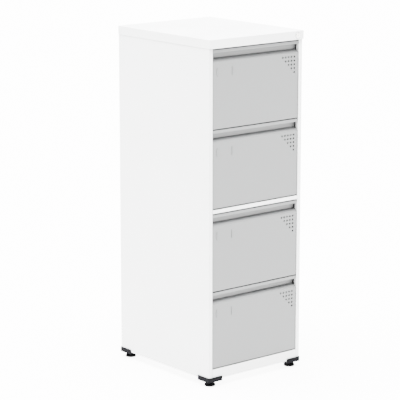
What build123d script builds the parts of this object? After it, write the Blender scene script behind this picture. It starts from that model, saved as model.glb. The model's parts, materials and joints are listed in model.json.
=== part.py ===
from build123d import *
from math import cos, radians, sin
import os

# Four-drawer steel filing cabinet with recessed grips, a top lock and levelling feet.
# Z is up, the drawers open towards -Y, and the origin is on the floor under the middle.

# Overall sizes
cabinet_width = 460.0       # outside of the side panels
cabinet_depth = 550.0       # front posts to rear flanges
cabinet_height = 1330.0     # floor to the top of the cap
leg_height = 29.0           # floor to the bottom edge of the body

# Sheet steel of the body
sheet = 0.8
fold = 2.0                  # outer radius of a fold
panel_fit = 0.5             # gap beside a panel that lies between two folds

# Cap and front frame
cap_band = 34.0
cap_front = 6.5             # overhang of the cap in front of the posts
cap_side = 1.2              # overhang of the cap on the other three sides
cap_lip_gap = 0.4
corner_relief = 2.6
post_width = 17.0
post_return = 14.5
rear_flange = 16.0
plinth_height = 40.0
crossbar_height = 14.0
pan_depth = 16.0

# Back panel ribs
rib_width = 26.0
rib_depth = 3.0
rib_slope = 5.0
rib_inset = 118.0           # rib centre to the side of the cabinet

# Gaps around the drawer fronts
drawer_count = 4
top_gap = 5.0
drawer_gap = 4.0
side_gap = 2.0
face_recess = 2.5           # drawer face behind the face of the posts

# Drawer front: a folded sheet with a full-width grip channel at its top
front_sheet = 0.8
front_fold = 1.2            # outer radius of the fold along the bottom edge
lip_height = 12.0
lip_fold = 4.5
grip_bottom = 44.0          # lower edge of the grip opening, below the drawer's top
grip_corner = 32.0          # foot of the channel's back wall, below the drawer's top
grip_depth = 20.0
front_lip = 20.0            # inturned lips that the tray is screwed to
front_lip_end = 46.0        # top of the side flanges, below the drawer's top
crossbar_under = 2          # the rail between the drawers is under this one

# Perforations, a triangle of rows that get one hole shorter towards the bottom
hole_pitch = 14.7
hole_diameter = 8.0
hole_rows = 5
hole_inset = 19.0           # last column to the drawer's right edge
hole_drop = 60.0            # first row below the drawer's top

# Label clips, two bowed tabs pressed out of the face
label_width = 81.0
label_inset = 17.0          # outside of the left clip to the drawer's left edge
label_drop = 84.0           # middle of the clips below the drawer's top
clip_height = 32.0
clip_bow = 5.5
clip_width = 4.5
clip_slot = 0.6             # room for the card behind the tab
clip_sheet = 0.6

# Drawer tray
tray_sheet = 0.8
tray_lift = 12.0            # underside of the tray above the drawer's bottom edge
tray_drop = 54.0            # top of the tray's sides below the drawer's top
tray_front_gap = 8.0        # top of the tray's front wall below the drawer's top
rail_out = 5.5              # hanging-file rail along the top of each side
rail_drop = 6.0
back_drop = 86.0            # top of the tray's back below the drawer's top
back_flange = 12.0

# Telescopic slides
slide_thickness = 12.7
slide_setback = 1.5         # outer face of the slide behind the post return
slide_start = 38.0          # front end of the slides behind the posts
rear_space = 22.0
slide_steel = 1.2
slide_fold = 1.8
slide_lift = 62.0           # slide centre line above the tray's underside
slide_play = 2.1            # web of the outer member to the middle one
inner_play = 1.7            # web of the middle member to the edges of the inner one
middle_play = 1.4           # edges of the middle member to the inner one's web
inner_height = 22.0
inner_ball = 3.8            # room for the balls around the inner member
outer_ball = 5.3            # room for the balls around the middle member
outer_reach = 5.0
middle_short = 20.0         # how much shorter the middle member is

# Uprights that carry the slides
upright_sheet = 1.2
upright_web = 34.0
upright_foot = 12.0
upright_inset = 48.0        # upright centre line to the end of the slides

# Screws
screw_radius = 2.0
screw_clearance = 0.1
screw_head_radius = 4.0
screw_head = 2.2
screw_taper = 12.0
screw_reach = 5.0
drawer_screw_low = 45.0     # lower screws above the drawer's bottom edge
drawer_screw_drop = 86.0    # upper screws below the drawer's top
back_screw_rows = 5
back_screw_margin = 70.0

# Lock bar and the catches that it holds
lock_lift = 12.0
bar_thickness = 3.0
bar_width = 14.0
hook_front_gap = 3.7         # drawer front to the hooks
bar_front_gap = 7.0          # how far the bar starts in front of the hooks
bar_gap = 2.0               # bar to the post return
bar_tail = 76.0             # end of the bar below the lowest catch
catch_drop = 106.0          # lower edge of the catch below the drawer's top
catch_height = 16.0
catch_sheet = 1.5
catch_gap = 3.0             # hook to the catch plate behind it
catch_reach = 9.4
catch_leg = 20.0
hook_sheet = 2.0
hook_height = 15.0
hook_gap = 3.0              # unlocked hook to the catch above it
hook_overlap = 3.0          # hook and catch side by side, measured across the cabinet
guided_drawers = (1, 3, 4)
guide_drop = 48.0           # guide below the catch
guide_sheet = 2.0
guide_flange = 18.0
guide_slack = 0.5
guide_margin = 4.0

# Lock
lock_inset = 31.0           # lock axis to the side of the cap
lock_drop = 18.0            # lock axis below the top of the cap
bezel_radius = 9.5
bezel_thick = 2.2
bezel_edge = 0.9
barrel_radius = 8.0
barrel_fit = 0.15
barrel_end = 22.0           # rear end of the barrel behind the posts
plug_radius = 5.6
plug_fit = 0.08
plug_proud = 0.6
plug_edge = 0.5
key_slot_width = 2.0
key_slot_height = 7.6
key_slot_depth = 14.0
tail_width = 5.0
cam_gap = 0.4
cam_sheet = 2.0
cam_start = 45.0            # cam below level when unlocked, in degrees
cam_pin_radius = 2.0
cam_pin_wall = 1.0
cam_pin_tip = 1.2           # pin past the back of the yoke
cam_cap = 1.4
cam_cap_radius = 4.2
yoke_step = 6.8             # front of the bar to the yoke
yoke_slack = 0.7
yoke_wall = 3.5

# Corner brackets and levelling feet
bracket_wall = 3.0
bracket_arm = 67.0
bracket_below = 9.0         # bracket under the body
bracket_above = 9.0         # bracket beside the body
bracket_radius = 4.0
bracket_pocket = 6.0
boss_radius = 10.0
foot_inset = 27.0           # foot axis to the side of the body
foot_radius = 21.5
foot_rim = 8.0
foot_taper = 1.0            # how much smaller the rim is at its top and bottom
foot_slope = 2.0            # rise of the pad's top from the rim to the hub
foot_neck = 8.0
foot_height = 12.5
foot_edge = 0.8
foot_curve = 1.5
stud_radius = 4.0
stud_fit = 0.1
stud_start = 4.0
stud_top = 40.0
stud_tip = 0.8
nut_width = 13.0
nut_height = 6.3
nut_gap = 0.4

os.makedirs("parts", exist_ok=True)

# Main planes and half widths
half_width = cabinet_width / 2
front = (cap_front - cabinet_depth - bracket_wall) / 2
back = front + cabinet_depth
opening_half = half_width - post_width
front_half = opening_half - side_gap
inner_half = half_width - sheet
cap_underside = cabinet_height - sheet
cap_bottom = cabinet_height - cap_band
pan_top = leg_height + pan_depth
face = front + face_recess
front_depth = grip_depth + front_sheet
tray_front = face + front_depth
hook_y = tray_front + hook_front_gap
catch_plate_y = hook_y + hook_sheet + catch_gap
bar_front = hook_y - bar_front_gap
yoke_front = bar_front + yoke_step
slide_front = front + slide_start
slide_length = cabinet_depth - slide_start - rear_space
slide_back = slide_front + slide_length
tray_half = opening_half + slide_setback - slide_thickness
slide_outer = tray_half + slide_thickness
middle_face = slide_thickness - slide_steel - slide_play
middle_reach = slide_steel + middle_play
inner_reach = middle_face - slide_steel - inner_play
middle_height = inner_height + 2 * (slide_steel + inner_ball)
outer_height = middle_height + 2 * (slide_steel + outer_ball)

# Heights of the drawers, from the top one down
gap_sum = top_gap + (drawer_count + 1) * drawer_gap
stack_height = cap_bottom - leg_height - plinth_height - crossbar_height - gap_sum
front_height = stack_height / drawer_count
drawer_numbers = range(1, drawer_count + 1)
drawer_bottom = {}
next_top = cap_bottom - top_gap
for number in drawer_numbers:
    drawer_bottom[number] = next_top - front_height
    next_top = drawer_bottom[number] - drawer_gap
    if number == crossbar_under:
        crossbar_top = next_top
        next_top -= crossbar_height + drawer_gap


def finish(part, name):
    part.label = name
    export_step(part, f"parts/{name}.step")


def folded_section(plane, points, radius, thickness, side):
    """The section of a sheet folded along the points, with its thickness on one side."""
    with BuildSketch(plane) as section:
        with BuildLine():
            FilletPolyline(*points, radius=radius)
            offset(amount=thickness, side=side)
        make_face()
    return section.sketch


def rail_section(low, high):
    """A rail between the posts: a flat web with both edges folded back."""
    return folded_section(
        Plane.YZ.offset(-opening_half),
        [
            (front + post_return, high),
            (front, high),
            (front, low),
            (front + post_return, low),
        ],
        fold,
        sheet,
        Side.LEFT,
    )


# --- Body ---

# Side panel: front post with its return, side and rear flange in one folded sheet
side_section = folded_section(
    Plane.XY.offset(leg_height),
    [
        (-opening_half, front + post_return),
        (-opening_half, front),
        (-half_width, front),
        (-half_width, back),
        (-half_width + rear_flange, back),
    ],
    fold,
    sheet,
    Side.RIGHT,
)
back_screw_x = half_width - rear_flange / 2 - sheet
back_screw_span = cap_bottom - pan_top - 2 * back_screw_margin
back_screw_step = back_screw_span / (back_screw_rows - 1)
back_screw_low = pan_top + back_screw_margin
back_screw_z = [back_screw_low + row * back_screw_step for row in range(back_screw_rows)]

with BuildPart() as left_side_panel:
    extrude(side_section, amount=cap_underside - fold + sheet - leg_height)
    with BuildSketch(Plane.XZ.offset(-back)):
        with Locations(*[(-back_screw_x, z) for z in back_screw_z]):
            Circle(screw_radius + screw_clearance)
    extrude(amount=2 * sheet, mode=Mode.SUBTRACT)
finish(left_side_panel.part, "left_side_panel")

with BuildPart() as right_side_panel:
    add(left_side_panel.part)
    mirror(about=Plane.YZ, mode=Mode.REPLACE)
finish(right_side_panel.part, "right_side_panel")

# Cap: a shallow tray turned over, with relief notches where its folds meet
lock_x = half_width + cap_side - lock_inset
lock_z = cabinet_height - lock_drop
cap_width = cabinet_width + 2 * cap_side
cap_front_y = front - cap_front
cap_back_y = back + cap_side
cap_depth = cap_back_y - cap_front_y
cap_middle = (cap_front_y + cap_back_y) / 2
cap_corners = [
    (x, y, z)
    for x in (-cap_width / 2, cap_width / 2)
    for y in (cap_front_y, cap_back_y)
    for z in (cap_bottom, cabinet_height)
]
with BuildPart() as top_cap:
    with BuildSketch(Plane.XY.offset(cap_bottom)):
        with Locations((0, cap_middle)):
            RectangleRounded(cap_width, cap_depth, fold)
    extrude(amount=cap_band)
    fillet(top_cap.faces().sort_by(Axis.Z)[-1].edges(), fold)
    offset(amount=-sheet, openings=top_cap.faces().sort_by(Axis.Z)[0])
    with BuildSketch(Plane.XY.offset(cap_bottom)):
        with Locations((0, cap_front_y + cap_front / 2)):
            Rectangle(cap_width - 2 * fold, cap_front - 2 * cap_lip_gap)
    extrude(amount=sheet)
    with Locations(*cap_corners):
        Sphere(corner_relief, mode=Mode.SUBTRACT)
    with BuildSketch(Plane.XZ.offset(-cap_front_y)):
        with Locations((lock_x, lock_z)):
            Circle(barrel_radius + barrel_fit)
    extrude(amount=-cap_front / 2, mode=Mode.SUBTRACT)
finish(top_cap.part, "top_cap")

# Rail behind the cap's front, which holds the lock
with BuildPart() as top_front_rail:
    extrude(rail_section(cap_bottom, cap_underside), amount=2 * opening_half)
    with BuildSketch(Plane.XZ.offset(-front)):
        with Locations((lock_x, lock_z)):
            Circle(barrel_radius + barrel_fit)
    extrude(amount=-2 * sheet, mode=Mode.SUBTRACT)
finish(top_front_rail.part, "top_front_rail")

with BuildPart() as middle_crossbar:
    extrude(rail_section(crossbar_top - crossbar_height, crossbar_top), amount=2 * opening_half)
finish(middle_crossbar.part, "middle_crossbar")

with BuildPart() as plinth_rail:
    extrude(rail_section(leg_height, leg_height + plinth_height), amount=2 * opening_half)
finish(plinth_rail.part, "plinth_rail")

# Base pan: a tray turned over between the plinth, the sides and the rear flanges
pan_front = front + post_return
pan_back = back - sheet
with BuildPart() as base_pan:
    with BuildSketch(Plane.XY.offset(leg_height)):
        with Locations((0, (pan_front + pan_back) / 2)):
            RectangleRounded(2 * inner_half, pan_back - pan_front, fold)
    extrude(amount=pan_depth)
    fillet(base_pan.faces().sort_by(Axis.Z)[-1].edges(), fold)
    offset(amount=-sheet, openings=base_pan.faces().sort_by(Axis.Z)[0])
finish(base_pan.part, "base_pan")

# Back panel with two full-height ribs, inside the rear flanges
panel_half = half_width - fold - panel_fit
panel_face = back - sheet
rib_x = half_width - rib_inset
back_points = [(-panel_half, panel_face)]
for rib_middle in (-rib_x, rib_x):
    back_points += [
        (rib_middle - rib_width / 2, panel_face),
        (rib_middle - rib_width / 2 + rib_slope, panel_face - rib_depth),
        (rib_middle + rib_width / 2 - rib_slope, panel_face - rib_depth),
        (rib_middle + rib_width / 2, panel_face),
    ]
back_points.append((panel_half, panel_face))
back_section = folded_section(Plane.XY.offset(pan_top), back_points, fold, sheet, Side.RIGHT)
back_screw_points = [(x, z) for x in (-back_screw_x, back_screw_x) for z in back_screw_z]
with BuildPart() as back_panel:
    extrude(back_section, amount=cap_underside - pan_top)
    with BuildSketch(Plane.XZ.offset(-panel_face)):
        with Locations(*back_screw_points):
            Circle(screw_radius + screw_clearance)
    extrude(amount=2 * sheet, mode=Mode.SUBTRACT)
finish(back_panel.part, "back_panel")

with BuildPart() as cabinet_screws:
    with BuildSketch(Plane.XZ.offset(-back)):
        with Locations(*back_screw_points):
            Circle(screw_head_radius)
    extrude(amount=-screw_head, taper=screw_taper)
    with BuildSketch(Plane.XZ.offset(-back)):
        with Locations(*back_screw_points):
            Circle(screw_radius)
    extrude(amount=screw_reach)
finish(cabinet_screws.part, "cabinet_screws")

# Uprights: two hat sections on each side panel, with the slides on their webs
upright_middles = (slide_front + upright_inset, slide_back - upright_inset)
upright_face = -slide_outer - upright_sheet
with BuildPart() as slide_uprights:
    for middle in upright_middles:
        upright_section = folded_section(
            Plane.XY.offset(pan_top),
            [
                (-inner_half, middle - upright_web / 2 - upright_foot),
                (-inner_half, middle - upright_web / 2),
                (upright_face, middle - upright_web / 2),
                (upright_face, middle + upright_web / 2),
                (-inner_half, middle + upright_web / 2),
                (-inner_half, middle + upright_web / 2 + upright_foot),
            ],
            fold,
            upright_sheet,
            Side.RIGHT,
        )
        extrude(upright_section, amount=cap_bottom - pan_top)
    mirror(about=Plane.YZ)
finish(slide_uprights.part, "slide_uprights")

# --- Corner brackets and levelling feet ---

bracket_bottom = leg_height - bracket_below
bracket_top = leg_height + bracket_above
corners = {
    "front_left": (-half_width, front, 1, 1),
    "front_right": (half_width, front, -1, 1),
    "rear_left": (-half_width, back, 1, -1),
    "rear_right": (half_width, back, -1, -1),
}
for corner, (corner_x, corner_y, inward_x, inward_y) in corners.items():
    outer_x = corner_x - inward_x * bracket_wall
    outer_y = corner_y - inward_y * bracket_wall
    middle_x = outer_x + inward_x * bracket_arm / 2
    middle_y = outer_y + inward_y * bracket_arm / 2
    foot_x = corner_x + inward_x * foot_inset
    foot_y = corner_y + inward_y * foot_inset

    # Black plastic shoe under the corner, open below, with two low walls outside the body
    with BuildPart() as bracket:
        with BuildSketch(Plane.XY.offset(bracket_bottom)):
            with Locations((middle_x, middle_y)):
                Rectangle(bracket_arm, bracket_arm)
        extrude(amount=bracket_top - bracket_bottom)
        upright_edges = bracket.edges().filter_by(Axis.Z)
        fillet(upright_edges.sort_by_distance((outer_x, outer_y, leg_height))[0], bracket_radius)
        with BuildSketch(Plane.XY.offset(leg_height)):
            with Locations((corner_x + inward_x * bracket_arm / 2, corner_y + inward_y * bracket_arm / 2)):
                Rectangle(bracket_arm, bracket_arm)
        extrude(amount=bracket_above, mode=Mode.SUBTRACT)
        with BuildSketch(Plane.XY.offset(bracket_bottom)):
            with Locations((middle_x, middle_y)):
                RectangleRounded(bracket_arm - 2 * bracket_wall, bracket_arm - 2 * bracket_wall, fold)
        extrude(amount=bracket_pocket, mode=Mode.SUBTRACT)
        with BuildSketch(Plane.XY.offset(bracket_bottom)):
            with Locations((foot_x, foot_y)):
                Circle(boss_radius)
        extrude(amount=bracket_pocket)
        with BuildSketch(Plane.XY.offset(bracket_bottom)):
            with Locations((foot_x, foot_y)):
                Circle(stud_radius + stud_fit)
        extrude(amount=bracket_below, mode=Mode.SUBTRACT)
    finish(bracket.part, f"{corner}_bracket")

    # Foot pad, a low turned disc with a raised hub
    with BuildPart() as pad:
        with BuildSketch(Plane(origin=(foot_x, foot_y, 0), x_dir=(1, 0, 0), z_dir=(0, -1, 0))):
            with BuildLine():
                FilletPolyline(
                    (0, 0),
                    (foot_radius - foot_taper, 0),
                    (foot_radius, foot_rim / 2),
                    (foot_radius - foot_taper, foot_rim),
                    (foot_neck, foot_rim + foot_slope),
                    (foot_neck, foot_height),
                    (0, foot_height),
                    radius=[0, foot_edge, foot_curve, foot_curve, foot_curve, foot_edge, 0],
                    close=True,
                )
            make_face()
        revolve(axis=Axis((foot_x, foot_y, 0), (0, 0, 1)))
        with BuildSketch(Plane.XY.offset(stud_start)):
            with Locations((foot_x, foot_y)):
                Circle(stud_radius)
        extrude(amount=foot_height, mode=Mode.SUBTRACT)
    finish(pad.part, f"{corner}_foot_pad")

    # Threaded stud with its lock nut under the bracket
    with BuildPart() as stud:
        with BuildSketch(Plane.XY.offset(stud_start)):
            with Locations((foot_x, foot_y)):
                Circle(stud_radius)
        extrude(amount=stud_top - stud_start)
        chamfer(stud.faces().sort_by(Axis.Z)[-1].edges(), stud_tip)
        with BuildSketch(Plane.XY.offset(bracket_bottom - nut_gap - nut_height)):
            with Locations((foot_x, foot_y)):
                RegularPolygon(nut_width / 2, 6, major_radius=False)
        extrude(amount=nut_height)
    finish(stud.part, f"{corner}_foot_stud")

# --- Lock ---

pin_radius = lock_lift / (2 * sin(radians(cam_start)))
pin_x = lock_x + pin_radius * cos(radians(cam_start))
pin_z = lock_z - lock_lift / 2
bar_x = opening_half + bar_gap
bezel_face = cap_front_y - bezel_thick
barrel_back = front + barrel_end
cam_front = barrel_back + cam_gap

with BuildPart() as lock_housing:
    with BuildSketch(Plane.XZ.offset(-cap_front_y)):
        with Locations((lock_x, lock_z)):
            Circle(bezel_radius)
    extrude(amount=bezel_thick)
    fillet(lock_housing.faces().sort_by(Axis.Y)[0].edges(), bezel_edge)
    with BuildSketch(Plane.XZ.offset(-cap_front_y)):
        with Locations((lock_x, lock_z)):
            Circle(barrel_radius)
    extrude(amount=cap_front_y - barrel_back)
    with BuildSketch(Plane.XZ.offset(-barrel_back)):
        with Locations((lock_x, lock_z)):
            Circle(plug_radius + plug_fit)
    extrude(amount=barrel_back - bezel_face, mode=Mode.SUBTRACT)
finish(lock_housing.part, "lock_housing")

plug_face = bezel_face - plug_proud
with BuildPart() as lock_plug:
    with BuildSketch(Plane.XZ.offset(-plug_face)):
        with Locations((lock_x, lock_z)):
            Circle(plug_radius)
    extrude(amount=plug_face - barrel_back)
    chamfer(lock_plug.faces().sort_by(Axis.Y)[0].edges(), plug_edge)
    with BuildSketch(Plane.XZ.offset(-barrel_back)):
        with Locations((lock_x, lock_z)):
            Rectangle(tail_width, tail_width)
    extrude(amount=-(cam_gap + cam_sheet))
    with BuildSketch(Plane.XZ.offset(-plug_face)):
        with Locations((lock_x, lock_z)):
            Rectangle(key_slot_width, key_slot_height)
    extrude(amount=-key_slot_depth, mode=Mode.SUBTRACT)
finish(lock_plug.part, "lock_plug")

# Cam: an arm on the plug's square tail, with a pin in the yoke's slot
with BuildPart() as lock_cam:
    with BuildSketch(Plane.XZ.offset(-cam_front)) as cam_outline:
        with Locations((lock_x, lock_z)):
            Circle(cam_pin_radius + yoke_wall)
        with Locations((pin_x, pin_z)):
            Circle(cam_pin_radius + cam_pin_wall)
        make_hull()
        with Locations((lock_x, lock_z)):
            Rectangle(tail_width, tail_width, mode=Mode.SUBTRACT)
    extrude(amount=-cam_sheet)
    with BuildSketch(Plane.XZ.offset(-cam_front - cam_sheet)):
        with Locations((pin_x, pin_z)):
            Circle(cam_pin_radius)
    extrude(amount=-(yoke_front + hook_sheet + cam_pin_tip - cam_front - cam_sheet))
    with BuildSketch(Plane.XZ.offset(-cam_front - cam_sheet)):
        with Locations((lock_x, lock_z)):
            Circle(cam_cap_radius)
    extrude(amount=-cam_cap)
finish(lock_cam.part, "lock_cam")

# Lock bar: an upright strip behind the right post
catch_bottom = {
    number: drawer_bottom[number] + front_height - catch_drop for number in drawer_numbers
}
catch_end = tray_half + catch_reach
hook_end = catch_end - hook_overlap
bar_bottom = catch_bottom[drawer_count] - bar_tail
slot_half_height = cam_pin_radius + yoke_slack
slot_left = pin_x - cam_pin_radius - yoke_slack
slot_right = lock_x + pin_radius + cam_pin_radius + yoke_slack
yoke_low = pin_z - slot_half_height - yoke_wall
yoke_high = pin_z + slot_half_height + yoke_wall
yoke_left = slot_left - yoke_wall / 2
with BuildPart() as lock_bar:
    with BuildSketch(Plane.XY.offset(bar_bottom)):
        with Locations((bar_x, bar_front)):
            Rectangle(bar_thickness, bar_width, align=(Align.MIN, Align.MIN))
    extrude(amount=yoke_high - bar_bottom)
finish(lock_bar.part, "lock_bar")

# Plates welded to the bar: a hook beside each drawer's catch and a slotted yoke over the cam pin
with BuildPart() as lock_bar_hooks:
    with BuildSketch(Plane.XZ.offset(-hook_y)):
        for number in drawer_numbers:
            hook_low = catch_bottom[number] - hook_gap - hook_height
            with Locations((hook_end, hook_low)):
                Rectangle(bar_x - hook_end, hook_height, align=(Align.MIN, Align.MIN))
    extrude(amount=-hook_sheet)
    with BuildSketch(Plane.XZ.offset(-yoke_front)):
        with Locations((yoke_left, yoke_low)):
            Rectangle(bar_x - yoke_left, yoke_high - yoke_low, align=(Align.MIN, Align.MIN))
        with Locations((slot_left, pin_z - slot_half_height)):
            Rectangle(
                slot_right - slot_left,
                2 * slot_half_height,
                align=(Align.MIN, Align.MIN),
                mode=Mode.SUBTRACT,
            )
    extrude(amount=-hook_sheet)
finish(lock_bar_hooks.part, "lock_bar_hooks")

# Guides: angle plates on the right side panel with a slot for the bar
guide_left = bar_x - bar_gap / 2
guide_front = bar_front - guide_margin
guide_width = bar_width + 2 * guide_margin
guide_levels = [catch_bottom[number] - guide_drop for number in guided_drawers]
with BuildPart() as lock_bar_guides:
    for level in guide_levels:
        with BuildSketch(Plane.XY.offset(level)):
            with Locations((guide_left, guide_front)):
                Rectangle(inner_half - guide_left, guide_width, align=(Align.MIN, Align.MIN))
        extrude(amount=guide_sheet)
        with BuildSketch(Plane.XY.offset(level)):
            with Locations((inner_half - guide_sheet, guide_front)):
                Rectangle(guide_sheet, guide_width, align=(Align.MIN, Align.MIN))
        extrude(amount=guide_flange)
        with BuildSketch(Plane.XY.offset(level)):
            with Locations((bar_x - guide_slack, bar_front - guide_slack)):
                Rectangle(
                    bar_thickness + 2 * guide_slack,
                    bar_width + 2 * guide_slack,
                    align=(Align.MIN, Align.MIN),
                )
        extrude(amount=guide_sheet, mode=Mode.SUBTRACT)
finish(lock_bar_guides.part, "lock_bar_guides")

# --- Drawers ---

# Places of the perforations and label clips, measured across the drawer front
hole_places = [
    (front_half - hole_inset - column * hole_pitch, hole_drop + row * hole_pitch)
    for row in range(hole_rows)
    for column in range(hole_rows - row)
]
label_left = -front_half + label_inset
label_right = label_left + label_width
screw_x = tray_half - tray_sheet - fold - screw_head_radius


def clip_outline(plane, width, margin):
    """Two facing crescents, bowed outwards, that end short of the clip height by the margin."""
    half = clip_height / 2 - margin
    bow = clip_bow - margin
    with BuildSketch(plane) as outline:
        for edge, outward in ((label_left, -1), (label_right, 1)):
            root = edge - outward * clip_bow
            with BuildLine():
                ThreePointArc((root, -half), (root + outward * bow, 0), (root, half))
                ThreePointArc((root, half), (root + outward * (bow - width), 0), (root, -half))
            make_face()
    return outline.sketch


def slide_member(web, reach, height, level, length, inward):
    """A pair of channel members, one each side, along the drawer's slides."""
    with BuildPart() as pair:
        for side in (-1, 1):
            web_x = side * (tray_half + web)
            lip_x = side * (tray_half + reach)
            section = folded_section(
                Plane.XZ.offset(-slide_front),
                [
                    (lip_x, level + height / 2),
                    (web_x, level + height / 2),
                    (web_x, level - height / 2),
                    (lip_x, level - height / 2),
                ],
                slide_fold,
                slide_steel,
                Side.LEFT if side * inward > 0 else Side.RIGHT,
            )
            extrude(section, amount=-length)
    return pair.part


for number in drawer_numbers:
    low = drawer_bottom[number]
    high = low + front_height
    tray_low = low + tray_lift
    tray_high = high - tray_drop
    slide_level = tray_low + slide_lift
    name = f"drawer_{number}"

    # Front: bottom flange, face, grip channel and lip folded from one sheet
    front_section = folded_section(
        Plane.YZ.offset(-front_half),
        [
            (tray_front, low),
            (face, low),
            (face, high - grip_bottom),
            (face + grip_depth, high - grip_corner),
            (face + grip_depth, high - front_sheet),
            (face + front_sheet, high - front_sheet),
            (face + front_sheet, high - lip_height + front_sheet),
            (face + front_sheet + lip_fold, high - lip_height + front_sheet),
        ],
        [front_fold, 3 * fold, fold, fold / 2, fold / 2, fold / 2],
        front_sheet,
        Side.RIGHT,
    )
    label_plane = Plane(origin=(0, face, high - label_drop), x_dir=(1, 0, 0), z_dir=(0, -1, 0))
    screw_levels = (low + drawer_screw_low, high - drawer_screw_drop)
    screw_places = [(x, z) for x in (-screw_x, screw_x) for z in screw_levels]
    with BuildPart() as drawer_front:
        extrude(front_section, amount=2 * front_half)
        with BuildSketch(Plane.XY.offset(low + fold)):
            for side in (-1, 1):
                with Locations((side * (front_half - front_sheet / 2), face + front_depth / 2)):
                    Rectangle(front_sheet, front_depth)
                with Locations((side * (front_half - front_lip / 2), tray_front - front_sheet / 2)):
                    Rectangle(front_lip, front_sheet)
        extrude(amount=front_height - front_lip_end - fold)
        with BuildSketch(Plane.XZ.offset(-face)):
            with Locations(*[(x, high - drop) for x, drop in hole_places]):
                Circle(hole_diameter / 2)
        extrude(amount=-2 * front_sheet, mode=Mode.SUBTRACT)
        clip_hole = clip_outline(label_plane, clip_width, clip_sheet)
        card_room = clip_outline(label_plane, clip_width + clip_sheet, clip_sheet)
        extrude(clip_outline(label_plane, clip_width, 0), amount=clip_slot + clip_sheet)
        extrude(clip_hole, amount=-2 * front_sheet, mode=Mode.SUBTRACT)
        extrude(card_room, amount=clip_slot, mode=Mode.SUBTRACT)
        with BuildSketch(Plane.XZ.offset(-tray_front)):
            with Locations(*screw_places):
                Circle(screw_radius + screw_clearance)
        extrude(amount=front_sheet, mode=Mode.SUBTRACT)
    finish(drawer_front.part, f"{name}_front")

    # Tray: sides and bottom in one sheet with hanging-file rails, and an inner front wall
    tray_section = folded_section(
        Plane.XZ.offset(-tray_front),
        [
            (-tray_half - rail_out, tray_high - rail_drop),
            (-tray_half - rail_out, tray_high),
            (-tray_half, tray_high),
            (-tray_half, tray_low),
            (tray_half, tray_low),
            (tray_half, tray_high),
            (tray_half + rail_out, tray_high),
            (tray_half + rail_out, tray_high - rail_drop),
        ],
        [fold / 2, fold, fold, fold, fold, fold / 2],
        tray_sheet,
        Side.LEFT,
    )
    wall_top = high - tray_front_gap
    with BuildPart() as tray:
        extrude(tray_section, amount=tray_front - slide_back)
        with BuildSketch(Plane.XZ.offset(-tray_front)):
            with Locations((0, (tray_low + fold + wall_top) / 2)):
                Rectangle(2 * tray_half, wall_top - tray_low - fold)
        extrude(amount=-tray_sheet)
        with BuildSketch(Plane.XZ.offset(-tray_front)):
            with Locations((0, tray_low + fold / 2)):
                Rectangle(2 * tray_half - 2 * fold, fold)
        extrude(amount=-tray_sheet)
        with BuildSketch(Plane.XZ.offset(-tray_front)):
            with Locations(*screw_places):
                Circle(screw_radius + screw_clearance)
        extrude(amount=-tray_sheet, mode=Mode.SUBTRACT)
    finish(tray.part, f"{name}_tray")

    back_section = folded_section(
        Plane.XY.offset(tray_low + fold),
        [
            (-tray_half + tray_sheet, slide_back - back_flange),
            (-tray_half + tray_sheet, slide_back),
            (tray_half - tray_sheet, slide_back),
            (tray_half - tray_sheet, slide_back - back_flange),
        ],
        fold,
        tray_sheet,
        Side.RIGHT,
    )
    with BuildPart() as tray_back:
        extrude(back_section, amount=high - back_drop - tray_low - fold)
    finish(tray_back.part, f"{name}_back")

    # Screws from inside the tray into the lips of the front
    with BuildPart() as screws:
        with BuildSketch(Plane.XZ.offset(-tray_front - tray_sheet)):
            with Locations(*screw_places):
                Circle(screw_head_radius)
        extrude(amount=-screw_head, taper=screw_taper)
        with BuildSketch(Plane.XZ.offset(-tray_front - tray_sheet)):
            with Locations(*screw_places):
                Circle(screw_radius)
        extrude(amount=screw_reach)
    finish(screws.part, f"{name}_screws")

    # Slides: the outer members stay on the uprights and the inner ones are on the tray
    outer = slide_member(slide_thickness, outer_reach, outer_height, slide_level, slide_length, -1)
    finish(outer, f"{name}_slides_outer")
    middle_length = slide_length - middle_short
    middle = slide_member(middle_face, middle_reach, middle_height, slide_level, middle_length, -1)
    finish(middle, f"{name}_slides_middle")
    inner = slide_member(0, inner_reach, inner_height, slide_level, slide_length, 1)
    finish(inner, f"{name}_slides_inner")

    # Catch: an angle on the right side of the tray, in front of which the hook rises
    catch_section = folded_section(
        Plane.XY.offset(catch_bottom[number]),
        [
            (catch_end, catch_plate_y),
            (tray_half, catch_plate_y),
            (tray_half, catch_plate_y + catch_leg),
        ],
        fold,
        catch_sheet,
        Side.RIGHT,
    )
    with BuildPart() as catch:
        extrude(catch_section, amount=catch_height)
    finish(catch.part, f"{name}_lock_catch")
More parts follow.
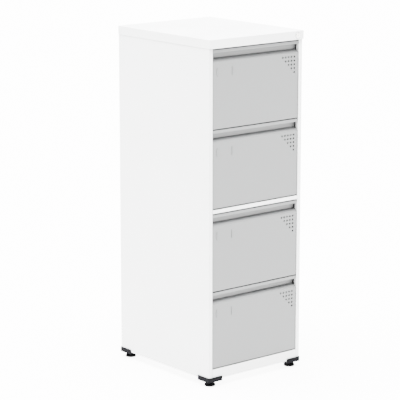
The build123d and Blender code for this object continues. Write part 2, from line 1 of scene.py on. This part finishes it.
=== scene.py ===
import bpy
import json
import math
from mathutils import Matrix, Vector


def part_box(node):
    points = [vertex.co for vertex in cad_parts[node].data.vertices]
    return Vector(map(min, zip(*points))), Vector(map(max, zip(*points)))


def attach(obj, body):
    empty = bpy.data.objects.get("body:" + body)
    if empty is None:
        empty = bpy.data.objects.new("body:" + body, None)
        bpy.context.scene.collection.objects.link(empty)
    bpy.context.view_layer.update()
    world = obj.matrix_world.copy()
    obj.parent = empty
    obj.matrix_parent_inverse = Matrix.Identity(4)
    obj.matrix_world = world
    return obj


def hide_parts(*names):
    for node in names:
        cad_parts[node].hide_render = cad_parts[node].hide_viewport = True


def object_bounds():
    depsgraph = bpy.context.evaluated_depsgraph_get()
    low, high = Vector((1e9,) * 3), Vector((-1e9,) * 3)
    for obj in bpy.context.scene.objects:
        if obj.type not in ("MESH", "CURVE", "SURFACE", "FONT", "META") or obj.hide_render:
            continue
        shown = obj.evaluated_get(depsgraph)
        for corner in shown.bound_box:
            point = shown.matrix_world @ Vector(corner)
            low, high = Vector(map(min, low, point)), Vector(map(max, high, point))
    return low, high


# Four-drawer steel filing cabinet: finishes, small fittings, studio and camera.
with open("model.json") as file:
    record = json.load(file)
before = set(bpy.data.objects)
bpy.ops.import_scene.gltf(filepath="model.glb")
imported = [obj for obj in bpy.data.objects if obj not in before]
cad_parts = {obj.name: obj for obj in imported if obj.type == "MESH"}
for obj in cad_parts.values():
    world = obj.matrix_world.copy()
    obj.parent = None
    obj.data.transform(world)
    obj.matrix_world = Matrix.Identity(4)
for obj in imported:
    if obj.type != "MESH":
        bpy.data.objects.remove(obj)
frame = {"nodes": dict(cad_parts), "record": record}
cadLow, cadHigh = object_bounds()
nodes = frame["nodes"]
mm = 0.001
drawerCount = 4
print("frame loaded:", len(nodes), "nodes")

# Camera and studio

camera = {
    "azimuth": -39.397,         # degrees round from straight ahead; negative stands to the left
    "elevation": 12.308,
    "distance": 7.4561,
    "lens": 171.713,
    "aim": (-0.0296, 0.0243, 0.6542),
}

studio = {
    "floorHalf": 60.0,
    "floorColour": "#8F8F8E",
    "floorRoughness": 0.9,
    "floorGloss": 0.1,
    "floorGlow": 9.0,           # the floor is a lit table, so that no hard shadow lies on it
    "skyColour": "#FFFFFF",
    "skyStrength": 0.9,
    "sunStrength": 64.0,        # a sun as wide as a soft box, so that the floor stays even
    "sunWidth": 60.0,
    "sunTilt": (0.0, -6.0),     # degrees about X and Y; it leans a little over the left side
}


def makeCamera():
    turn = math.radians(camera["azimuth"])
    rise = math.radians(camera["elevation"])
    level = math.cos(rise)
    away = Vector((math.sin(turn) * level, -math.cos(turn) * level, math.sin(rise)))
    data = bpy.data.cameras.new("camera")
    data.lens = camera["lens"]
    view = bpy.data.objects.new("camera", data)
    bpy.context.scene.collection.objects.link(view)
    view.location = Vector(camera["aim"]) + away * camera["distance"]
    view.rotation_euler = (math.pi / 2 - rise, 0, turn)
    bpy.context.scene.camera = view


# sRGB hex to the linear colour that shaders use
def linear(colour, shade=1.0):
    parts = [int(colour[i:i + 2], 16) / 255 for i in (1, 3, 5)]
    parts = [c / 12.92 if c <= 0.04045 else ((c + 0.055) / 1.055) ** 2.4 for c in parts]
    return (*[c * shade for c in parts], 1)


# A shader node with its settings, socket values and incoming links
def addNode(tree, kind, values=None, links=None, **settings):
    node = tree.nodes.new(kind)
    for key, value in settings.items():
        setattr(node, key, value)
    for key, value in (values or {}).items():
        node.inputs[key].default_value = value
    for key, source in (links or {}).items():
        tree.links.new(source, node.inputs[key])
    return node


def newMaterial(name):
    material = bpy.data.materials.new(name)
    material.use_nodes = True
    material.node_tree.nodes.clear()
    return material, material.node_tree


def makeFloor():
    bpy.ops.mesh.primitive_plane_add(size=2 * studio["floorHalf"], location=(0, 0, cadLow.z))
    floor = bpy.context.object
    floor.name = "floor"
    material, tree = newMaterial("pale_studio_floor")
    shader = addNode(tree, "ShaderNodeBsdfPrincipled", {
        "Base Color": linear(studio["floorColour"]),
        "Roughness": studio["floorRoughness"],
        "Specular IOR Level": studio["floorGloss"],
        "Emission Color": linear(studio["skyColour"]),
        "Emission Strength": studio["floorGlow"],
    })
    addNode(tree, "ShaderNodeOutputMaterial", links={"Surface": shader.outputs[0]})
    floor.data.materials.append(material)


def makeLights():
    world = bpy.data.worlds.new("studio")
    bpy.context.scene.world = world
    world.use_nodes = True
    world.node_tree.nodes.clear()
    sky = addNode(world.node_tree, "ShaderNodeBackground", {
        "Color": linear(studio["skyColour"]),
        "Strength": studio["skyStrength"],
    })
    addNode(world.node_tree, "ShaderNodeOutputWorld", links={"Surface": sky.outputs[0]})
    data = bpy.data.lights.new("overhead", "SUN")
    data.energy = studio["sunStrength"]
    data.angle = math.radians(studio["sunWidth"])
    sun = bpy.data.objects.new("overhead", data)
    bpy.context.scene.collection.objects.link(sun)
    aboutX, aboutY = (math.radians(angle) for angle in studio["sunTilt"])
    sun.rotation_euler = (aboutX, aboutY, 0)


makeCamera()
makeFloor()
makeLights()
print("camera, floor and lights made")

# Finishes

coat = {
    "peelWidth": 2.4 * mm,      # orange peel is 1 to 3 mm from crest to crest
    "peelHeight": 0.012 * mm,
    "peelDetail": 1.0,
    "peelStrength": 0.35,
    "foldRadius": 0.7 * mm,
    "cloudWidth": 180 * mm,
    "cloudDetail": 2.0,
    "cloudShade": 0.975,
    "cloudStops": (0.35, 0.65),
    "roughSpread": (-0.03, 0.04),
    "paintedShadeReach": 24 * mm,       # painted shade reaches this far into a gap or channel
    "ior": 1.5,
}

plate = {
    "lineWidth": 1.2 * mm,      # real lines are finer; drawn this coarse so that they show
    "lineLength": 60 * mm,
    "lineDetail": 3.0,
    "lineShade": 0.86,
    "lineStops": (0.3, 0.7),
    "lineDepth": 0.01 * mm,
    "lineStrength": 0.3,
    "roughSpread": (-0.06, 0.08),
    # painted shade in the plated parts' seams: how far it reaches and the share of colour left at the
    # bottom
    "paintedShadeReach": 10 * mm,
    "paintedShadeLow": 0.35,
}

plastic = {
    "grainWidth": 0.6 * mm,
    "grainDetail": 2.0,
    "grainDepth": 0.05 * mm,
    "grainStrength": 0.4,
    "edgeRadius": 0.8 * mm,
    "scuffWidth": 14 * mm,
    "scuffDetail": 4.0,
    "scuffShade": 1.35,
    "scuffStops": (0.35, 0.7),
    "roughSpread": (-0.05, 0.08),
    "ior": 1.49,
    "gloss": 0.02,
}

seamPower = 1.35                # above one, the shade falls off faster towards open faces
seamSamples = 12
softSamples = 4
patternSpan = {"From Min": 0.3, "From Max": 0.7}    # where most of a noise pattern's values lie


# Paints shade into a colour deep in a seam or channel: the full colour on open faces, the low share
# of it at the bottom
def addPaintedSeamShade(tree, colour, reach, low):
    openness = addNode(tree, "ShaderNodeAmbientOcclusion", {"Distance": reach}, samples=seamSamples)
    steep = addNode(tree, "ShaderNodeMath", {1: seamPower}, {0: openness.outputs["AO"]},
                    operation="POWER")
    seam = addNode(tree, "ShaderNodeMapRange", {"To Min": low, "To Max": 1.0},
                   {"Value": steep.outputs["Value"]})
    return addNode(tree, "ShaderNodeMix", {"Factor": 1.0}, {"A": colour, "B": seam.outputs["Result"]},
                   data_type="RGBA", blend_type="MULTIPLY")


def setStops(ramp, places, colours):
    for stop, place, colour in zip(ramp.color_ramp.elements, places, colours):
        stop.position = place
        stop.color = colour


# Roughness limits for a surface that is a little glossier in some places than in others
def roughRange(roughness, spread):
    return {**patternSpan, "To Min": roughness + spread[0], "To Max": roughness + spread[1]}


# Polyester powder coat on folded sheet: even semi-gloss colour, faint orange peel,
# softened folds, and painted shade that darkens the colour in gaps and channels where sheets meet
def powderCoatedSteel(name, colour, roughness, paintedShadeLow, gloss):
    material, tree = newMaterial(name)
    place = addNode(tree, "ShaderNodeTexCoord").outputs["Object"]
    cloud = addNode(tree, "ShaderNodeTexNoise", {
        "Scale": 1 / coat["cloudWidth"], "Detail": coat["cloudDetail"],
    }, {"Vector": place})
    tone = addNode(tree, "ShaderNodeValToRGB", links={"Fac": cloud.outputs["Fac"]})
    setStops(tone, coat["cloudStops"], (linear(colour, coat["cloudShade"]), linear(colour)))
    # painted shade: the colour darkens where gaps and channels hide the surface from light
    shaded = addPaintedSeamShade(tree, tone.outputs["Color"], coat["paintedShadeReach"], paintedShadeLow)
    rough = addNode(tree, "ShaderNodeMapRange", roughRange(roughness, coat["roughSpread"]),
                    {"Value": cloud.outputs["Fac"]})
    peel = addNode(tree, "ShaderNodeTexNoise", {
        "Scale": 1 / coat["peelWidth"], "Detail": coat["peelDetail"],
    }, {"Vector": place})
    soft = addNode(tree, "ShaderNodeBevel", {"Radius": coat["foldRadius"]}, samples=softSamples)
    bump = addNode(tree, "ShaderNodeBump", {
        "Strength": coat["peelStrength"], "Distance": coat["peelHeight"],
    }, {"Height": peel.outputs["Fac"], "Normal": soft.outputs["Normal"]})
    shader = addNode(tree, "ShaderNodeBsdfPrincipled", {
        "IOR": coat["ior"], "Specular IOR Level": gloss,
    }, {
        "Base Color": shaded.outputs["Result"],
        "Roughness": rough.outputs["Result"],
        "Normal": bump.outputs["Normal"],
    })
    addNode(tree, "ShaderNodeOutputMaterial", links={"Surface": shader.outputs[0]})
    return material


# Zinc or nickel on steel: cool bright metal with faint drawing lines along
# one axis, numbered 0 to 2 for X to Z
def platedSteel(name, colour, roughness, along):
    material, tree = newMaterial(name)
    place = addNode(tree, "ShaderNodeTexCoord").outputs["Object"]
    stretch = [1 / plate["lineWidth"]] * 3
    stretch[along] = 1 / plate["lineLength"]
    turned = addNode(tree, "ShaderNodeMapping", {"Scale": stretch}, {"Vector": place})
    lines = addNode(tree, "ShaderNodeTexNoise", {"Scale": 1.0, "Detail": plate["lineDetail"]},
                    {"Vector": turned.outputs["Vector"]})
    tone = addNode(tree, "ShaderNodeValToRGB", links={"Fac": lines.outputs["Fac"]})
    setStops(tone, plate["lineStops"], (linear(colour, plate["lineShade"]), linear(colour)))
    # painted shade: the metal's colour darkens in gaps and seams
    shaded = addPaintedSeamShade(tree, tone.outputs["Color"], plate["paintedShadeReach"], plate["paintedShadeLow"])
    rough = addNode(tree, "ShaderNodeMapRange", roughRange(roughness, plate["roughSpread"]),
                    {"Value": lines.outputs["Fac"]})
    bump = addNode(tree, "ShaderNodeBump", {
        "Strength": plate["lineStrength"], "Distance": plate["lineDepth"],
    }, {"Height": lines.outputs["Fac"]})
    shader = addNode(tree, "ShaderNodeBsdfPrincipled", {"Metallic": 1.0}, {
        "Base Color": shaded.outputs["Result"],
        "Roughness": rough.outputs["Result"],
        "Normal": bump.outputs["Normal"],
    })
    addNode(tree, "ShaderNodeOutputMaterial", links={"Surface": shader.outputs[0]})
    return material


# Injection-moulded polymer: near black, fine spark-eroded grain, slightly polished where rubbed
def mouldedPlastic(name, colour, roughness):
    material, tree = newMaterial(name)
    place = addNode(tree, "ShaderNodeTexCoord").outputs["Object"]
    grain = addNode(tree, "ShaderNodeTexNoise", {
        "Scale": 1 / plastic["grainWidth"], "Detail": plastic["grainDetail"],
    }, {"Vector": place})
    scuff = addNode(tree, "ShaderNodeTexNoise", {
        "Scale": 1 / plastic["scuffWidth"], "Detail": plastic["scuffDetail"],
    }, {"Vector": place})
    tone = addNode(tree, "ShaderNodeValToRGB", links={"Fac": scuff.outputs["Fac"]})
    setStops(tone, plastic["scuffStops"], (linear(colour), linear(colour, plastic["scuffShade"])))
    soft = addNode(tree, "ShaderNodeBevel", {"Radius": plastic["edgeRadius"]}, samples=softSamples)
    bump = addNode(tree, "ShaderNodeBump", {
        "Strength": plastic["grainStrength"], "Distance": plastic["grainDepth"],
    }, {"Height": grain.outputs["Fac"], "Normal": soft.outputs["Normal"]})
    rough = addNode(tree, "ShaderNodeMapRange", roughRange(roughness, plastic["roughSpread"]),
                    {"Value": scuff.outputs["Fac"]})
    shader = addNode(tree, "ShaderNodeBsdfPrincipled", {
        "IOR": plastic["ior"], "Specular IOR Level": plastic["gloss"],
    }, {
        "Base Color": tone.outputs["Color"],
        "Roughness": rough.outputs["Result"],
        "Normal": bump.outputs["Normal"],
    })
    addNode(tree, "ShaderNodeOutputMaterial", links={"Surface": shader.outputs[0]})
    return material


# each powder coat's low share is the part of its colour that painted shade leaves deep in a seam; the
# trays' share is the smallest
finishes = {
    "body_white": powderCoatedSteel("white_powder_coated_steel", "#C6C7C7",
                                    roughness=0.42, paintedShadeLow=0.1, gloss=0.25),
    "upright_white": powderCoatedSteel("white_powder_coated_strip", "#C0C1C1",
                                       roughness=0.5, paintedShadeLow=0.1, gloss=0.25),
    "front_grey": powderCoatedSteel("light_grey_powder_coated_steel", "#5D5E5E",
                                    roughness=0.42, paintedShadeLow=0.22, gloss=0.25),
    "tray_grey": powderCoatedSteel("grey_powder_coated_tray", "#5D5E5E",
                                   roughness=0.5, paintedShadeLow=0.03, gloss=0.2),
    "slide_zinc": platedSteel("bright_zinc_plated_slide", "#C6CACC", roughness=0.34, along=1),
    "bare_zinc": platedSteel("zinc_plated_strip_steel", "#BEC1C3", roughness=0.38, along=2),
    "screw_steel": platedSteel("zinc_plated_screw_steel", "#B9BCBE", roughness=0.32, along=0),
    "lock_nickel": platedSteel("polished_nickel_plate", "#CFCDC8", roughness=0.2, along=0),
    "bracket_plastic": mouldedPlastic("black_moulded_polypropylene", "#08080A", roughness=0.62),
    "foot_plastic": mouldedPlastic("black_moulded_nylon", "#0B0B0C", roughness=0.55),
    "stud_steel": platedSteel("zinc_plated_stud_steel", "#B2B5B7", roughness=0.36, along=2),
}
for part in frame["record"]["subparts"]:
    mesh = nodes[part["node"]].data
    mesh.materials.clear()
    mesh.materials.append(finishes[part["material_slot"]])
print("finishes given to every node")

# Small fittings

screw = {
    "headRadius": 4.0 * mm,
    "headHeight": 2.2 * mm,
    "sides": 28,
    "crown": 0.8,               # top of the head against its foot
    "domeRise": 0.35 * mm,
    "domeInset": 1.1 * mm,
    "shankRadius": 2.0 * mm,
    "tipLength": 1.2 * mm,
    "tipTaper": 0.6,            # end of the tip against the shank
    "recessLength": 4.4 * mm,   # cross recess, from tip to tip
    "recessWidth": 0.95 * mm,
    "recessDepth": 1.5 * mm,
    "smoothAngle": 35,          # degrees; sharper edges stay crisp
    "backRows": 5,              # screws in each of the two columns
    "drawerRows": 2,
}
facing = 0.9                    # least cosine between a face's normal and the way it should point

cage = {
    "steel": 1.2 * mm,          # thickness of the slide members
    "stripWidth": 3.6 * mm,
    "stripThick": 0.7 * mm,
    "stripEdge": 0.2 * mm,
    "stripEdgeSteps": 2,
    "ballPitch": 17.0 * mm,
    "balls": 9,
    "endMargin": 9.0 * mm,
    "ballDetail": 2,
    "outerBall": 2.25 * mm,
    "outerInset": 5.5 * mm,     # ball centre inside the outer member's back
    "innerBall": 1.55 * mm,
    "innerInset": 8.2 * mm,
}


def deselectAll():
    bpy.ops.object.select_all(action="DESELECT")


def pick(thing):
    deselectAll()
    thing.select_set(True)
    bpy.context.view_layer.objects.active = thing


def placeInMesh(thing):
    pick(thing)
    bpy.ops.object.transform_apply(location=True, rotation=True, scale=True)


def copyTo(thing, place):
    pick(thing)
    bpy.ops.object.duplicate()
    copy = bpy.context.object
    copy.location = place
    placeInMesh(copy)
    return copy


def joinAll(things, name):
    deselectAll()
    for thing in things:
        thing.select_set(True)
    bpy.context.view_layer.objects.active = things[0]
    bpy.ops.object.join()
    things[0].name = name
    things[0].data.name = name
    return things[0]


# Selects the mesh's faces that the test accepts, and leaves it in edit mode
def selectFaces(thing, test):
    pick(thing)
    bpy.ops.object.mode_set(mode="EDIT")
    bpy.ops.mesh.select_mode(type="FACE")
    bpy.ops.mesh.select_all(action="DESELECT")
    bpy.ops.object.mode_set(mode="OBJECT")
    for face in thing.data.polygons:
        face.select = test(face)
    bpy.ops.object.mode_set(mode="EDIT")


def cutWith(thing, cutter):
    pick(thing)
    cut = thing.modifiers.new("recess", "BOOLEAN")
    cut.object = cutter
    cut.operation = "DIFFERENCE"
    cut.solver = "EXACT"
    bpy.ops.object.modifier_apply(modifier=cut.name)
    bpy.data.objects.remove(cutter)


# A pan-head screw with a cross recess, its head standing on the plane y = 0 and facing +Y
def makeScrew(shankLength):
    headRadius, headHeight = screw["headRadius"], screw["headHeight"]
    bpy.ops.mesh.primitive_cylinder_add(vertices=screw["sides"], radius=headRadius, depth=headHeight,
                                        rotation=(-math.pi / 2, 0, 0))
    one = bpy.context.object
    one.location = (0, headHeight / 2, 0)
    placeInMesh(one)
    selectFaces(one, lambda face: face.normal.y > facing)
    crown = screw["crown"]
    bpy.ops.transform.resize(value=(crown, 1, crown))
    bpy.ops.transform.translate(value=(0, -screw["domeRise"], 0))
    bpy.ops.mesh.inset(thickness=screw["domeInset"], depth=screw["domeRise"])
    bpy.ops.object.mode_set(mode="OBJECT")
    selectFaces(one, lambda face: face.normal.y < -facing)
    bpy.ops.mesh.inset(thickness=headRadius - screw["shankRadius"])
    bpy.ops.mesh.extrude_region_move(
        TRANSFORM_OT_translate={"value": (0, screw["tipLength"] - shankLength, 0)})
    bpy.ops.mesh.extrude_region_move(TRANSFORM_OT_translate={"value": (0, -screw["tipLength"], 0)})
    bpy.ops.transform.resize(value=(screw["tipTaper"], 1, screw["tipTaper"]))
    bpy.ops.object.mode_set(mode="OBJECT")
    for turn in (0, math.pi / 2):
        bpy.ops.mesh.primitive_cube_add(size=1, rotation=(0, turn, 0),
                                        location=(0, headHeight, 0))
        bar = bpy.context.object
        bar.scale = (screw["recessLength"], 2 * screw["recessDepth"], screw["recessWidth"])
        placeInMesh(bar)
        cutWith(one, bar)
    pick(one)
    bpy.ops.object.shade_smooth_by_angle(angle=math.radians(screw["smoothAngle"]))
    return one


# Replaces a node of screws: their heads are at the back of its box, in even columns and rows
def replaceScrews(node, body, rows):
    boxLow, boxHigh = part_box(node)
    headRadius, headHeight = screw["headRadius"], screw["headHeight"]
    one = makeScrew(boxHigh.y - headHeight - boxLow.y)
    left, right = boxLow.x + headRadius, boxHigh.x - headRadius
    bottom, top = boxLow.z + headRadius, boxHigh.z - headRadius
    places = [Vector((x, boxHigh.y - headHeight, bottom + (top - bottom) * row / (rows - 1)))
              for x in (left, right) for row in range(rows)]
    copies = [copyTo(one, place) for place in places]
    bpy.data.objects.remove(one)
    group = joinAll(copies, node + "_crossed")
    group.data.materials.clear()
    group.data.materials.append(finishes["screw_steel"])
    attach(group, body)
    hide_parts(node)


# A strip of balls along one race of a slide, made at the origin and running along +Y
def makeRace(radius):
    length = (cage["balls"] + 1) * cage["ballPitch"]
    bpy.ops.mesh.primitive_cube_add(size=1)
    strip = bpy.context.object
    strip.scale = (cage["stripWidth"] * radius / cage["outerBall"], length, cage["stripThick"])
    strip.location = (0, length / 2, 0)
    placeInMesh(strip)
    soften = strip.modifiers.new("edge", "BEVEL")
    soften.width = cage["stripEdge"]
    soften.segments = cage["stripEdgeSteps"]
    bpy.ops.object.modifier_apply(modifier=soften.name)
    balls = []
    for count in range(cage["balls"]):
        bpy.ops.mesh.primitive_ico_sphere_add(subdivisions=cage["ballDetail"], radius=radius)
        ball = bpy.context.object
        ball.location = (0, (count + 1) * cage["ballPitch"], 0)
        placeInMesh(ball)
        bpy.ops.object.shade_smooth()
        balls.append(ball)
    return joinAll([strip] + balls, "race"), length


# Ball cages of one drawer's slides: the outer races at the back of the middle members,
# the inner races at their front, so that each stays covered over the whole travel
def makeCages(number):
    middleLow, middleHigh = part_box(f"drawer_{number}_slides_middle")
    outerLow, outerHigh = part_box(f"drawer_{number}_slides_outer")
    innerLow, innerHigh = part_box(f"drawer_{number}_slides_inner")
    level = (middleLow.z + middleHigh.z) / 2
    outerRise = ((outerHigh.z - level) + (middleHigh.z - level) - cage["steel"]) / 2
    innerRise = ((innerHigh.z - level) + (middleHigh.z - level) - cage["steel"]) / 2
    races = []
    for radius, inset, rise, rear in (
        (cage["outerBall"], cage["outerInset"], outerRise, True),
        (cage["innerBall"], cage["innerInset"], innerRise, False),
    ):
        race, length = makeRace(radius)
        start = middleHigh.y - cage["endMargin"] - length if rear else middleLow.y + cage["endMargin"]
        for side in (-1, 1):
            for up in (-1, 1):
                races.append(copyTo(race, (side * (outerHigh.x - inset), start, level + up * rise)))
        bpy.data.objects.remove(race)
    group = joinAll(races, f"drawer_{number}_ball_cages")
    group.data.materials.clear()
    group.data.materials.append(finishes["screw_steel"])
    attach(group, f"drawer_{number}_slide")


replaceScrews("cabinet_screws", "cabinet", screw["backRows"])
for number in range(1, drawerCount + 1):
    replaceScrews(f"drawer_{number}_screws", f"drawer_{number}", screw["drawerRows"])
print("screws made")
for number in range(1, drawerCount + 1):
    makeCages(number)
print("ball cages made")
